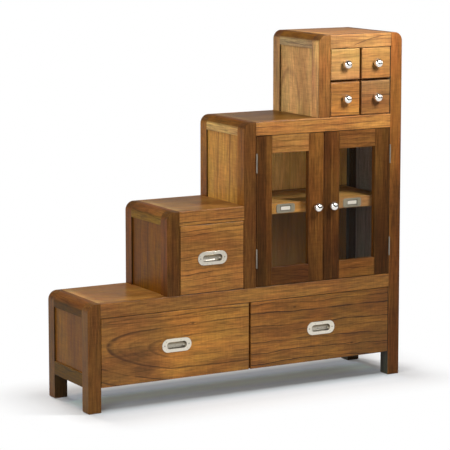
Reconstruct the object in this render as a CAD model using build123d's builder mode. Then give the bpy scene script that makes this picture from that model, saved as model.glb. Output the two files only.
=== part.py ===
"""Step chest tansu: four treads of posts, rails and boards, with seven drawers and two glass doors.

Millimetres. +X runs along the front from the low end to the high end, +Y to the rear, +Z up.
The origin is on the floor, under the middle of the whole chest with its knobs.
"""
import os

from build123d import *

os.makedirs("parts", exist_ok=True)

# ------------------------------------------------------------------ driving sizes: carcass
step_run = 288.5            # from one left-hand post to the next
step_rise = 277.5           # from one tread to the next
base_height = 357.0         # lowest tread above the floor
depth = 300.0               # posts, front face to rear face
floor_gap = 82.0            # floor to the underside of the chest
post_face = 46.0            # width of a post seen from the front
post_depth = 45.0           # width of a post seen from the side
shoulder_radius = 30.0      # outer top corner of posts and side rails
edge_round = 3.0            # outer edges of posts and rails
arris = 1.0                 # lightly broken edges
foot_chamfer = 2.5
rail_height = 47.0          # front, rear and side rails under the treads
rail_depth = 22.0
bottom_rail_height = 45.0
sill_height = 20.0          # rail hidden behind the foot of the base drawer fronts
tread_thickness = 18.0
panel_thickness = 12.0
panel_recess = 5.0          # side panels lie this far inside the posts' outer faces
panel_groove = 8.0
back_thickness = 6.0

# ------------------------------------------------------------------ driving sizes: drawers
front_gap = 2.0             # round every drawer front and door
seat_gap = 0.5              # behind the fronts and doors
slide_gap = 0.3             # under a drawer box
side_gap = 1.5              # each side of a drawer box
stop_gap = 2.0              # behind a drawer box
front_round = 2.0           # front edges of the large drawer fronts
small_front_round = 4.0
base_centre_gap = 8.0       # between the two base drawer fronts
step_post_gap = 3.5         # step post to the step drawer front
small_column_gap = 8.0      # between the two columns of small fronts
small_row_gap = 7.0         # between the two rows of small fronts
small_row_height = 120.0    # top box floor to the middle of the row gap
partition_thickness = 18.0
divider_thickness = 10.0
runner_width = 22.0
guide_width = 24.0
guide_height = 20.0
box_side = 12.0             # sides and back of the large drawer boxes
small_box_side = 9.0
box_bottom = 5.0
bottom_lift = 6.0           # underside of the sides to the drawer bottom
bottom_groove = 4.0
box_headroom = 24.0         # above the large drawer boxes
small_box_headroom = 8.0

# ------------------------------------------------------------------ driving sizes: doors
stile_width = 60.0
door_rail_height = 60.0
door_hinge_gap = 1.5        # door edge to post
door_meeting_gap = 2.5
glass_thickness = 4.0
glass_setback = 8.0         # door face to glass
rabbet = 8.0                # width of the step that holds the glass
glass_play = 0.5            # round the edge of the glass
bead_round = 4.0
hinge_length = 62.0
hinge_bottom_inset = 64.0   # door's lower end to the lower hinge
hinge_top_inset = 58.0      # upper hinge to the door's upper end
hinge_width = 18.0          # leaf, front to rear
leaf_thickness = 1.2
knuckle_radius = 2.4
knuckle_standoff = 0.3      # knuckle to the door's face
knuckle_count = 5
knuckle_gap = 0.3
pin_radius = 1.1
pin_play = 0.05
pin_cap_radius = 1.9
pin_cap_height = 1.5
catch_width = 16.0
catch_length = 13.0         # front to rear
catch_height = 26.0
catch_overlap = 11.0        # how far the catch hangs behind the door
catch_spacing = 44.0        # between the two catches

# ------------------------------------------------------------------ driving sizes: shelf and labels
shelf_height = 272.0        # cabinet floor to the top of the shelf
shelf_thickness = 18.0
shelf_setback = 32.0        # front of the chest to the shelf's edge strip
shelf_end_gap = 1.0
strip_height = 36.0
strip_thickness = 8.0
cleat_width = 12.0
cleat_height = 14.0
label_length = 73.0
label_height = 31.0
label_corner = 9.0
label_thickness = 1.8
label_window_length = 42.0
label_window_height = 18.0
card_margin = 4.0
card_thickness = 0.5

# ------------------------------------------------------------------ driving sizes: knobs and pulls
knob_radius = 16.0
knob_reach = 28.5           # front to the knob's tip
knob_base_radius = 12.0
knob_base_height = 1.5
bolt_radius = 2.0
bolt_play = 0.1
bolt_head_radius = 4.0
bolt_head_height = 2.0
pull_length = 109.0
pull_height = 45.0
pull_corner = 22.0
pull_plate = 2.0
pull_rim_round = 0.8
cup_length = 73.0
cup_height = 22.5
cup_corner = 10.5
cup_depth = 13.0
cup_wall = 1.5
cup_round = 8.0
screw_inset = 9.5           # plate end to screw centre
screw_radius = 1.4
screw_head_radius = 3.2
screw_head_height = 1.0
screw_length = 14.0
screw_play = 0.1
screw_slot = 0.7

# ------------------------------------------------------------------ places
front = (knob_reach - depth) / 2
back = front + depth
left = -(4 * step_run + post_face) / 2
right = -left
tread_x = [left + i * step_run for i in range(4)]
tread_z = [base_height + i * step_rise for i in range(4)]
base_x, step_x, cabinet_x, top_x = tread_x
base_z, step_z, cabinet_z, top_z = tread_z
right_post_x = right - post_face
rail_back = front + rail_depth
post_back = front + post_depth
rear_rail_front = back - rail_depth
rear_post_front = back - post_depth
back_panel_front = rear_rail_front - back_thickness
front_thickness = rail_depth - seat_gap
front_back = front + front_thickness
run_z = floor_gap + sill_height
box_rear = back_panel_front - stop_gap


# ------------------------------------------------------------------ helpers
def mid(span):
    return (span[0] + span[1]) / 2


def size(span):
    return span[1] - span[0]


def block(x, y, z, housing=()):
    """A square piece between its limits in X, Y and Z, cut away where it houses other pieces."""
    with BuildPart() as piece:
        with Locations((mid(x), mid(y), mid(z))):
            Box(size(x), size(y), size(z))
        for guest in housing:
            add(guest, mode=Mode.SUBTRACT)
    return piece.part


def save(name, *pieces):
    """Write one sub-part. Like pieces share a node and stay separate solids."""
    solids = [solid for piece in pieces for solid in piece.solids()]
    node = solids[0] if len(solids) == 1 else Compound(solids)
    node.label = name
    export_step(node, f"parts/{name}.step")


def outward(x, z):
    """A plane on the front of the chest that looks out of it, with its X along the chest."""
    return Plane(origin=(x, front, z), x_dir=(1, 0, 0), z_dir=(0, -1, 0))


# ------------------------------------------------------------------ side panels
base_panel_z = (floor_gap + bottom_rail_height - panel_groove, base_z - rail_height + panel_groove)
panel_y = (post_back - panel_groove, rear_post_front + panel_groove)
left_panel_feet = [base_panel_z[0], base_z, base_z, cabinet_z]


def left_panel(i):
    x = (tread_x[i] + panel_recess, tread_x[i] + panel_recess + panel_thickness)
    return block(x, panel_y, (left_panel_feet[i], tread_z[i] - rail_height + panel_groove))


def right_panel(low_rail_top, high_rail_top):
    x = (right - panel_recess - panel_thickness, right - panel_recess)
    z = (low_rail_top - panel_groove, high_rail_top - rail_height + panel_groove)
    return block(x, panel_y, z)


left_panels = [left_panel(i) for i in range(4)]
right_rail_tops = [floor_gap + bottom_rail_height, base_z, cabinet_z, top_z]
right_panels = [right_panel(*pair) for pair in zip(right_rail_tops, right_rail_tops[1:])]
save("left_side_panels", *left_panels)
save("right_side_panels", *right_panels)


# ------------------------------------------------------------------ side rails
def shouldered(x, y, z, side, housing):
    """A post or side rail whose outer top corner is rounded over; side is "left" or "right"."""
    with BuildPart() as piece:
        with BuildSketch(Plane.XZ.offset(-y[0])) as profile:
            with Locations((mid(x), mid(z))):
                Rectangle(size(x), size(z))
            top_corners = profile.vertices().group_by(Axis.Y)[-1].sort_by(Axis.X)
            fillet(top_corners[0 if side == "left" else -1], shoulder_radius)
        extrude(amount=-size(y))
        for guest in housing:
            add(guest, mode=Mode.SUBTRACT)
    return piece.part


side_rail_y = (post_back, rear_post_front)
bottom_rail_z = (floor_gap, floor_gap + bottom_rail_height)
left_rails = [block((left, left + post_face), side_rail_y, bottom_rail_z, left_panels[:1])]
for i in range(4):
    rail_x = (tread_x[i], tread_x[i] + post_face)
    rail_z = (tread_z[i] - rail_height, tread_z[i])
    left_rails.append(shouldered(rail_x, side_rail_y, rail_z, "left", left_panels[i:i + 1]))
save("left_side_rails", *left_rails)

right_x = (right_post_x, right)
right_rails = [
    block(right_x, side_rail_y, bottom_rail_z, right_panels[:1]),
    block(right_x, side_rail_y, (base_z - rail_height, base_z), right_panels[:2]),
    block(right_x, side_rail_y, (cabinet_z - rail_height, cabinet_z), right_panels[1:]),
    shouldered(right_x, side_rail_y, (top_z - rail_height, top_z), "right", right_panels[2:]),
]
save("right_side_rails", *right_rails)

# ------------------------------------------------------------------ hinges
door_z = (base_z + front_gap, cabinet_z - rail_height - front_gap)
hinge_feet = [door_z[0] + hinge_bottom_inset, door_z[1] - hinge_top_inset - hinge_length]
hinge_y = front - knuckle_standoff - knuckle_radius
left_hinge_x = cabinet_x + post_face + door_hinge_gap / 2
right_hinge_x = right_post_x - door_hinge_gap / 2
knuckle_pitch = hinge_length / knuckle_count


def hinge_leaf(axis_x, direction, foot, first_knuckle):
    """One leaf and its knuckles. direction is the X sense from the pin to the leaf."""
    near = axis_x + direction * door_hinge_gap / 2
    far = near + direction * leaf_thickness
    plate_x = (min(near, far), max(near, far))
    with BuildPart() as leaf:
        with Locations((mid(plate_x), front + hinge_width / 2, foot + hinge_length / 2)):
            Box(leaf_thickness, hinge_width, hinge_length)
        for k in range(first_knuckle, knuckle_count, 2):
            middle = foot + (k + 0.5) * knuckle_pitch
            with Locations((mid(plate_x), (hinge_y + front) / 2, middle)):
                Box(leaf_thickness, front - hinge_y, knuckle_pitch - knuckle_gap)
            with Locations((axis_x, hinge_y, middle)):
                Cylinder(knuckle_radius, knuckle_pitch - knuckle_gap)
        with Locations((axis_x, hinge_y, foot + hinge_length / 2)):
            Cylinder(pin_radius + pin_play, 2 * hinge_length, mode=Mode.SUBTRACT)
    return leaf.part


def hinge_pin(axis_x, foot):
    with BuildPart(Plane.XY.offset(foot)) as pin:
        with Locations((axis_x, hinge_y, 0)):
            Cylinder(pin_radius, hinge_length, align=(Align.CENTER, Align.CENTER, Align.MIN))
        for cap_z in (-pin_cap_height / 2, hinge_length + pin_cap_height / 2):
            with Locations((axis_x, hinge_y, cap_z)):
                Cylinder(pin_cap_radius, pin_cap_height)
        rims = pin.edges().filter_by(GeomType.CIRCLE).sort_by(Axis.Z)
        fillet([rims[0], rims[-1]], pin_cap_height / 2)
    return pin.part


fixed_leaves = {}
moving_leaves = {}
hinge_pins = []
for door, axis_x, sense in (("left", left_hinge_x, 1), ("right", right_hinge_x, -1)):
    fixed_leaves[door] = [hinge_leaf(axis_x, -sense, foot, 0) for foot in hinge_feet]
    moving_leaves[door] = [hinge_leaf(axis_x, sense, foot, 1) for foot in hinge_feet]
    hinge_pins += [hinge_pin(axis_x, foot) for foot in hinge_feet]
save("fixed_hinge_leaves", *fixed_leaves["left"], *fixed_leaves["right"], *hinge_pins)


# ------------------------------------------------------------------ posts
def post(x, z, side, end, housing):
    """A post with its outer edges rounded. side is "left" or "right", end "front" or "rear"."""
    y = (front, post_back) if end == "front" else (rear_post_front, back)
    with BuildPart() as piece:
        add(shouldered(x, y, z, side, []))
        if z[0] == 0:
            chamfer(piece.faces().sort_by(Axis.Z)[0].edges(), foot_chamfer)
        faces = piece.faces().filter_by(Axis.Y).sort_by(Axis.Y)
        show_face = faces[0] if end == "front" else faces[-1]
        edges = show_face.edges().sort_by(Axis.X)
        inner = edges[-1] if side == "left" else edges[0]
        foot = show_face.edges().sort_by(Axis.Z)[0]
        fillet([edge for edge in edges if edge not in (inner, foot)], edge_round)
        inner_edges = piece.edges().filter_by(Axis.Z).group_by(Axis.X)[-1 if side == "left" else 0]
        chamfer(inner_edges.sort_by(Axis.Y)[0 if end == "front" else -1], arris)
        for guest in housing:
            add(guest, mode=Mode.SUBTRACT)
    return piece.part


def post_pair(x, z, side, panels, front_guests=()):
    return [
        post(x, z, side, "front", [*panels, *front_guests]),
        post(x, z, side, "rear", panels),
    ]


def left_posts(i, foot, guests=()):
    x = (tread_x[i], tread_x[i] + post_face)
    return post_pair(x, (foot, tread_z[i]), "left", left_panels[i:i + 1], guests)


save("left_legs", *left_posts(0, 0))
save("step_posts", *left_posts(1, base_z))
save("cabinet_posts", *left_posts(2, base_z, fixed_leaves["left"]))
save("top_posts", *left_posts(3, cabinet_z))
save("right_posts", *post_pair(right_x, (0, top_z), "right", right_panels, fixed_leaves["right"]))

# ------------------------------------------------------------------ front and rear rails
rail_ends = [right_post_x, cabinet_x, right_post_x, right_post_x]


def rail(x, z, end):
    """A rail flush with the posts, its outer edges lightly rounded."""
    y = (front, rail_back) if end == "front" else (rear_rail_front, back)
    with BuildPart() as piece:
        add(block(x, y, z))
        long_edges = piece.edges().filter_by(Axis.X).group_by(Axis.Y)[0 if end == "front" else -1]
        fillet(long_edges.sort_by(Axis.Z)[-1], edge_round)
        chamfer(piece.edges().filter_by(Axis.X).group_by(Axis.Z)[0]
                .sort_by(Axis.Y)[0 if end == "front" else -1], arris)
    return piece.part


def tread_rails(end):
    rails = []
    for i in range(4):
        x = (tread_x[i] + post_face, rail_ends[i])
        rails.append(rail(x, (tread_z[i] - rail_height, tread_z[i]), end))
    return rails


bottom_x = (left + post_face, right_post_x)
sill = block(bottom_x, (rail_back, post_back), (floor_gap, run_z))
save("front_rails", *tread_rails("front"), sill)
save("rear_rails", *tread_rails("rear"), rail(bottom_x, bottom_rail_z, "rear"))

# ------------------------------------------------------------------ treads and backs
board_y = (rail_back, rear_rail_front)


def tread(i):
    """The board of one tread. The step's board runs on between the posts to the cabinet's panel."""
    z = (tread_z[i] - tread_thickness, tread_z[i])
    with BuildPart() as board:
        add(block((tread_x[i] + post_face, rail_ends[i]), board_y, z))
        if rail_ends[i] == cabinet_x:
            add(block((cabinet_x, cabinet_x + panel_recess), side_rail_y, z))
    return board.part


for i, name in enumerate(("base_board", "step_board", "cabinet_board", "top_board")):
    save(name, tread(i))

back_feet = [floor_gap, base_z, base_z, cabinet_z]
back_y = (back_panel_front, rear_rail_front)
save("back_panels", *[
    block((tread_x[i] + post_face, rail_ends[i]), back_y, (back_feet[i], tread_z[i] - tread_thickness))
    for i in range(4)
])

# ------------------------------------------------------------------ inner carcass
inner_y = (rail_back, back_panel_front)
half_partition = partition_thickness / 2
partition_z = (run_z, base_z - tread_thickness)
save("base_partition", block((-half_partition, half_partition), inner_y, partition_z))

runner_y = (post_back, back_panel_front)
runner_z = (floor_gap, run_z)
centre_runner = half_partition + runner_width
guide_x = (step_x + post_face - guide_width, step_x + post_face)
save(
    "drawer_runners",
    block((left + post_face, left + post_face + runner_width), runner_y, runner_z),
    block((-centre_runner, centre_runner), runner_y, runner_z),
    block((right_post_x - runner_width, right_post_x), runner_y, runner_z),
    block(guide_x, side_rail_y, (base_z, base_z + guide_height)),
)

small_x = (top_x + post_face, right_post_x)
divider_x = (mid(small_x) - divider_thickness / 2, mid(small_x) + divider_thickness / 2)
small_row_z = cabinet_z + small_row_height
small_shelf_z = (small_row_z - divider_thickness / 2, small_row_z + divider_thickness / 2)
save(
    "small_drawer_dividers",
    block(divider_x, inner_y, (cabinet_z, top_z - tread_thickness)),
    block((small_x[0], divider_x[0]), inner_y, small_shelf_z),
    block((divider_x[1], small_x[1]), inner_y, small_shelf_z),
)

# ------------------------------------------------------------------ cabinet shelf
opening_x = (cabinet_x + post_face, right_post_x)
shelf_top = base_z + shelf_height
shelf_x = (opening_x[0] + shelf_end_gap, opening_x[1] - shelf_end_gap)
strip_y = (front + shelf_setback, front + shelf_setback + strip_thickness)
shelf_z = (shelf_top - shelf_thickness, shelf_top)
save("cabinet_shelf", block(shelf_x, (strip_y[1], back_panel_front), shelf_z))

with BuildPart() as strip:
    add(block(shelf_x, strip_y, (shelf_top - strip_height, shelf_top)))
    fillet(strip.edges().filter_by(Axis.X).group_by(Axis.Y)[0], front_round)
save("shelf_edge", strip.part)

cleat_z = (shelf_z[0] - cleat_height, shelf_z[0])
cleat_y = (strip_y[1], back_panel_front)
save(
    "shelf_cleats",
    block((opening_x[0], opening_x[0] + cleat_width), cleat_y, cleat_z),
    block((opening_x[1] - cleat_width, opening_x[1]), cleat_y, cleat_z),
)

catch_y = (rail_back, rail_back + catch_length)
catch_top = door_z[1] - catch_overlap + catch_height
catch_xs = [mid(opening_x) - catch_spacing / 2, mid(opening_x) + catch_spacing / 2]
save("magnetic_catches", *[
    block((x - catch_width / 2, x + catch_width / 2), catch_y, (catch_top - catch_height, catch_top))
    for x in catch_xs
])


# ------------------------------------------------------------------ doors
def door_rail(x, z, glass_side, housing):
    """A door rail between the stiles; glass_side is 1 when the pane is above it."""
    y = (front, front_back)
    inner_z = z[1] if glass_side > 0 else z[0]
    step_z = sorted((inner_z, inner_z - glass_side * rabbet))
    with BuildPart() as piece:
        add(block(x, y, z))
        add(block(x, (front + glass_setback, front_back), step_z), mode=Mode.SUBTRACT)
        chamfer(piece.edges().filter_by(Axis.X).group_by(Axis.Y)[0], arris)
        for guest in housing:
            add(guest, mode=Mode.SUBTRACT)
    return piece.part


def door_stile(x, glass_side, housing):
    """A full-height door stile; glass_side is 1 when the pane is to its right."""
    inner_x = x[1] if glass_side > 0 else x[0]
    step_x_range = sorted((inner_x, inner_x - glass_side * rabbet))
    step_height = (door_z[0] + door_rail_height - rabbet, door_z[1] - door_rail_height + rabbet)
    with BuildPart() as piece:
        add(block(x, (front, front_back), door_z))
        add(block(step_x_range, (front + glass_setback, front_back), step_height), mode=Mode.SUBTRACT)
        chamfer(piece.edges().filter_by(Axis.Z).group_by(Axis.Y)[0], arris)
        for guest in housing:
            add(guest, mode=Mode.SUBTRACT)
    return piece.part


def bead(x, z, inner_edge):
    """A glazing bead behind the pane, rounded on its inner rear edge; inner_edge picks the side."""
    axis = Axis.Z if inner_edge in ("x_low", "x_high") else Axis.X
    across = Axis.X if axis is Axis.Z else Axis.Z
    with BuildPart() as piece:
        add(block(x, (front + glass_setback + glass_thickness, front_back), z))
        rear_edges = piece.edges().filter_by(axis).group_by(Axis.Y)[-1].sort_by(across)
        fillet(rear_edges[0 if inner_edge.endswith("low") else -1], min(bead_round, rabbet / 2))
    return piece.part


def knob(x, z):
    """A ball knob on a small base, and the bolt that holds it from behind."""
    outside = outward(x, z)
    with BuildPart(outside) as ball:
        Cylinder(knob_base_radius, knob_base_height, align=(Align.CENTER, Align.CENTER, Align.MIN))
        fillet(ball.edges().sort_by(Axis.Y)[0], knob_base_height / 2)
        with Locations((0, 0, knob_reach - knob_radius)):
            Sphere(knob_radius)
        Cylinder(2 * knob_radius, 2 * knob_reach, mode=Mode.INTERSECT,
                 align=(Align.CENTER, Align.CENTER, Align.MIN))
    with BuildPart(outside) as bolt:
        with Locations((0, 0, -front_thickness)):
            Cylinder(bolt_radius, front_thickness, align=(Align.CENTER, Align.CENTER, Align.MIN))
            Cylinder(bolt_head_radius, bolt_head_height, align=(Align.CENTER, Align.CENTER, Align.MAX))
    with BuildPart(outside) as hole:
        Cylinder(bolt_radius + bolt_play, 3 * front_thickness)
    return [ball.part, bolt.part], hole.part


knob_z = mid(door_z)
for door, sense in (("left", 1), ("right", -1)):
    hinge_edge = opening_x[0] + door_hinge_gap if sense > 0 else opening_x[1] - door_hinge_gap
    free_edge = mid(opening_x) - sense * door_meeting_gap / 2
    glass_x = sorted((hinge_edge + sense * stile_width, free_edge - sense * stile_width))
    glass_z = (door_z[0] + door_rail_height, door_z[1] - door_rail_height)
    knob_pieces, knob_hole = knob(free_edge - sense * stile_width / 2, knob_z)
    hinge_stile_x = sorted((hinge_edge, hinge_edge + sense * stile_width))
    free_stile_x = sorted((free_edge, free_edge - sense * stile_width))
    save(
        f"{door}_door_stiles",
        door_stile(hinge_stile_x, sense, moving_leaves[door]),
        door_stile(free_stile_x, -sense, [knob_hole]),
    )
    save(
        f"{door}_door_rails",
        door_rail(glass_x, (door_z[0], glass_z[0]), 1, []),
        door_rail(glass_x, (glass_z[1], door_z[1]), -1, []),
    )
    pane_x = (glass_x[0] - rabbet + glass_play, glass_x[1] + rabbet - glass_play)
    pane_y = (front + glass_setback, front + glass_setback + glass_thickness)
    pane_z = (glass_z[0] - rabbet + glass_play, glass_z[1] + rabbet - glass_play)
    save(f"{door}_door_glass", block(pane_x, pane_y, pane_z))
    tall_z = (glass_z[0] - rabbet, glass_z[1] + rabbet)
    save(
        f"{door}_door_beads",
        bead((glass_x[0] - rabbet, glass_x[0]), tall_z, "x_high"),
        bead((glass_x[1], glass_x[1] + rabbet), tall_z, "x_low"),
        bead(glass_x, (glass_z[0] - rabbet, glass_z[0]), "z_high"),
        bead(glass_x, (glass_z[1], glass_z[1] + rabbet), "z_low"),
    )
    save(f"{door}_door_knob", *knob_pieces)
    save(f"{door}_door_hinge_leaves", *moving_leaves[door])


# ------------------------------------------------------------------ card holders on the shelf
def label_holder(x):
    """A rounded frame with a window, and the card that slides down behind it from the top."""
    z = shelf_top - strip_height / 2
    outside = Plane(origin=(x, strip_y[0], z), x_dir=(1, 0, 0), z_dir=(0, -1, 0))
    card_length = label_window_length + 2 * card_margin
    card_height = label_window_height + 2 * card_margin
    with BuildPart(outside) as frame:
        with BuildSketch(outside):
            RectangleRounded(label_length, label_height, label_corner)
        extrude(amount=label_thickness)
        chamfer(frame.faces().sort_by(Axis.Y)[0].edges(), label_thickness / 3)
        with BuildSketch(outside):
            Rectangle(label_window_length, label_window_height)
        extrude(amount=label_thickness, mode=Mode.SUBTRACT)
        with BuildSketch(outside):
            with Locations((0, (label_height - card_height) / 4)):
                Rectangle(card_length, (label_height + card_height) / 2)
        extrude(amount=card_thickness, mode=Mode.SUBTRACT)
    with BuildPart(outside) as card:
        with BuildSketch(outside):
            Rectangle(card_length, card_height)
        extrude(amount=card_thickness)
    return frame.part, card.part


holder_pairs = [label_holder(mid((opening_x[0], mid(opening_x)))),
                label_holder(mid((mid(opening_x), opening_x[1])))]
save("label_holders", *[holder for holder, card in holder_pairs])
save("label_cards", *[card for holder, card in holder_pairs])


# ------------------------------------------------------------------ drawer pulls
def flush_pull(x, z):
    """An oval plate with a cup let into the front, and its two screws."""
    outside = outward(x, z)
    screw_at = [(-(pull_length / 2 - screw_inset), 0), (pull_length / 2 - screw_inset, 0)]
    floor_round = min(cup_round, cup_corner / 1.5)
    with BuildPart(outside) as pocket:
        with BuildSketch(outside):
            RectangleRounded(cup_length + 2 * cup_wall, cup_height + 2 * cup_wall, cup_corner + cup_wall)
        extrude(amount=-cup_depth)
        fillet(pocket.faces().sort_by(Axis.Y)[-1].edges(), floor_round + cup_wall)
    with BuildPart(outside) as hollow:
        with BuildSketch(outside.offset(pull_plate)):
            RectangleRounded(cup_length, cup_height, cup_corner)
        extrude(amount=-(pull_plate + cup_depth - cup_wall))
        fillet(hollow.faces().sort_by(Axis.Y)[-1].edges(), floor_round)
    with BuildPart() as pull:
        with BuildSketch(outside):
            RectangleRounded(pull_length, pull_height, pull_corner)
        extrude(amount=pull_plate)
        fillet(pull.faces().sort_by(Axis.Y)[0].edges(), pull_rim_round)
        add(pocket.part)
        add(hollow.part, mode=Mode.SUBTRACT)
        with Locations(outside.offset(pull_plate)):
            with Locations(*screw_at):
                CounterBoreHole(screw_radius + screw_play, screw_head_radius + screw_play,
                                screw_head_height, 2 * pull_plate)
    screws = []
    for at in screw_at:
        with BuildPart(outside) as screw:
            with Locations((*at, pull_plate)):
                Cylinder(screw_head_radius, screw_head_height,
                         align=(Align.CENTER, Align.CENTER, Align.MAX))
                Cylinder(screw_radius, screw_length, align=(Align.CENTER, Align.CENTER, Align.MAX))
                Box(2 * screw_head_radius, screw_slot, screw_head_height, mode=Mode.SUBTRACT)
        screws.append(screw.part)
    with BuildPart(outside) as pilot:
        with Locations(*screw_at):
            Cylinder(screw_radius + screw_play, 2 * (screw_length - pull_plate))
    return [pull.part, *screws], [pocket.part, pilot.part]


# ------------------------------------------------------------------ drawers
def drawer_front(x, z, edge_round, housing):
    with BuildPart() as piece:
        add(block(x, (front, front_back), z))
        fillet(piece.faces().sort_by(Axis.Y)[0].edges(), edge_round)
        for guest in housing:
            add(guest, mode=Mode.SUBTRACT)
    return piece.part


def drawer_box(x, z, side):
    """Two sides, a back standing on the bottom, and the bottom held in grooves."""
    y = (front_back, box_rear)
    bottom_z = (z[0] + bottom_lift, z[0] + bottom_lift + box_bottom)
    inner_x = (x[0] + side, x[1] - side)
    bottom = block((inner_x[0] - bottom_groove, inner_x[1] + bottom_groove), y, bottom_z)
    return [
        block((x[0], inner_x[0]), y, z, [bottom]),
        block((inner_x[1], x[1]), y, z, [bottom]),
        block(inner_x, (y[1] - side, y[1]), (bottom_z[1], z[1])),
        bottom,
    ]


def drawer(name, front_x, front_z, box_x, box_z, side, handle, edge_round=front_round):
    """handle is small_knob or flush_pull, set in the middle of the front."""
    handle_pieces, sunk = handle(mid(front_x), mid(front_z))
    save(f"{name}_front", drawer_front(front_x, front_z, edge_round, sunk))
    save(f"{name}_box", *drawer_box(box_x, box_z, side))
    save(f"{name}_{'pull' if handle is flush_pull else 'knob'}", *handle_pieces)


def small_knob(x, z):
    pieces, hole = knob(x, z)
    return pieces, [hole]


base_front_z = (floor_gap, base_z - rail_height - front_gap)
base_box_z = (run_z + slide_gap, base_z - rail_height - box_headroom)
drawer(
    "base_left",
    (left + post_face + front_gap, -base_centre_gap / 2), base_front_z,
    (left + post_face + side_gap, -half_partition - side_gap), base_box_z,
    box_side, flush_pull,
)
drawer(
    "base_right",
    (base_centre_gap / 2, right_post_x - front_gap), base_front_z,
    (half_partition + side_gap, right_post_x - side_gap), base_box_z,
    box_side, flush_pull,
)
drawer(
    "step",
    (step_x + post_face + step_post_gap, cabinet_x - front_gap),
    (base_z + front_gap, step_z - rail_height - front_gap),
    (step_x + post_face + side_gap, cabinet_x - side_gap),
    (base_z + slide_gap, step_z - rail_height - box_headroom),
    box_side, flush_pull,
)

column_fronts = {
    "left": (small_x[0] + front_gap, mid(small_x) - small_column_gap / 2),
    "right": (mid(small_x) + small_column_gap / 2, small_x[1] - front_gap),
}
column_boxes = {
    "left": (small_x[0] + side_gap, divider_x[0] - side_gap),
    "right": (divider_x[1] + side_gap, small_x[1] - side_gap),
}
row_fronts = {
    "lower": (cabinet_z + front_gap, small_row_z - small_row_gap / 2),
    "upper": (small_row_z + small_row_gap / 2, top_z - rail_height - front_gap),
}
row_boxes = {
    "lower": (cabinet_z + slide_gap, small_shelf_z[0] - small_box_headroom),
    "upper": (small_shelf_z[1] + slide_gap, top_z - rail_height - small_box_headroom),
}
for row in ("lower", "upper"):
    for column in ("left", "right"):
        drawer(
            f"{row}_{column}",
            column_fronts[column], row_fronts[row],
            column_boxes[column], row_boxes[row],
            small_box_side, small_knob, small_front_round,
        )
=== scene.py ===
"""Looks of the step chest: lacquered wood, nickel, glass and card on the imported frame."""

import math

import bpy
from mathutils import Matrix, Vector


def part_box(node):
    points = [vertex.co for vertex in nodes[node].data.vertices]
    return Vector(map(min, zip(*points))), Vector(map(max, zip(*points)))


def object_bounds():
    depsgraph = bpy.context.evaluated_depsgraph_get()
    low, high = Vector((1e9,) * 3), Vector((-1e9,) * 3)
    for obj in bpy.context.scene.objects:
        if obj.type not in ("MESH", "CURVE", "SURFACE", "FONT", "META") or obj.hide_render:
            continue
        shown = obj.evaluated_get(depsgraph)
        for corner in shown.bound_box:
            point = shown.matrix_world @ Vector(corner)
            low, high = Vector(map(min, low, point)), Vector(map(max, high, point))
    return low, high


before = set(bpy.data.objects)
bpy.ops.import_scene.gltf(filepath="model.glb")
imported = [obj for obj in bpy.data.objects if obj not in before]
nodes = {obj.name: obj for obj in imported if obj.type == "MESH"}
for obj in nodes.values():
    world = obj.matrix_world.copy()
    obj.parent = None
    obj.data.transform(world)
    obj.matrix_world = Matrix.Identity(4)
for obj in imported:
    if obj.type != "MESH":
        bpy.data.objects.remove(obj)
cad_box = [list(corner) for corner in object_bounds()]


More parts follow.
